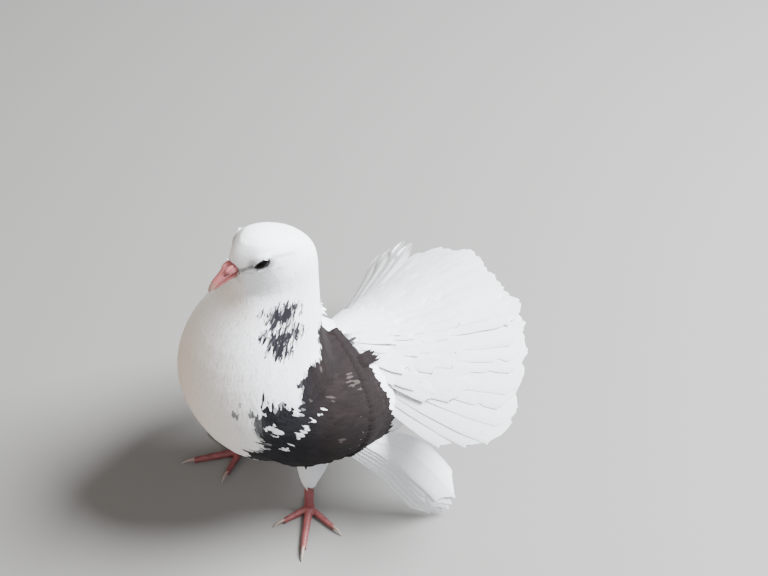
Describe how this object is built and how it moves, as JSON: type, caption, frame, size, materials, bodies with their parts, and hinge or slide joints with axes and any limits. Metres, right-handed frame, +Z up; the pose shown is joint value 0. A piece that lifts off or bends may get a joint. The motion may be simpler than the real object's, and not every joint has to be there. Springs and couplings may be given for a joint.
{
  "type": "fantail pigeon",
  "caption": "Still, life-size fantail pigeon: standing, tail fanned, wings let down, white with a dark wing shield and neck patch.",
  "frame": {"origin": "middle of the whole bird's box, on the floor that it stands on", "axes": "-Y is the way the bird faces, +X is its own left side, +Z is up"},
  "size_m": [0.1746, 0.1812, 0.1838],
  "materials": {
    "plumage_white": "soft matte feathers",
    "plumage_dark": "satin brown and blue-black feathers",
    "bill": "satin pink horn",
    "eye": "wet gloss",
    "leg_skin": "satin red scutes",
    "claw": "satin pale horn"
  },
  "bodies": {
    "root": {"head": "plumage_white", "neck": "plumage_white", "torso": "plumage_white", "tail": "plumage_white", "bill_upper": "bill", "bill_lower": "bill", "eye_left": "eye", "wing_left": "plumage_dark", "thigh_left": "plumage_white", "foot_left": "leg_skin", "claw_left_inner": "claw", "claw_left_middle": "claw", "claw_left_outer": "claw", "claw_left_hind": "claw", "eye_right": "eye", "wing_right": "plumage_dark", "thigh_right": "plumage_white", "foot_right": "leg_skin", "claw_right_inner": "claw", "claw_right_middle": "claw", "claw_right_outer": "claw", "claw_right_hind": "claw"}
  },
  "joints": []
}
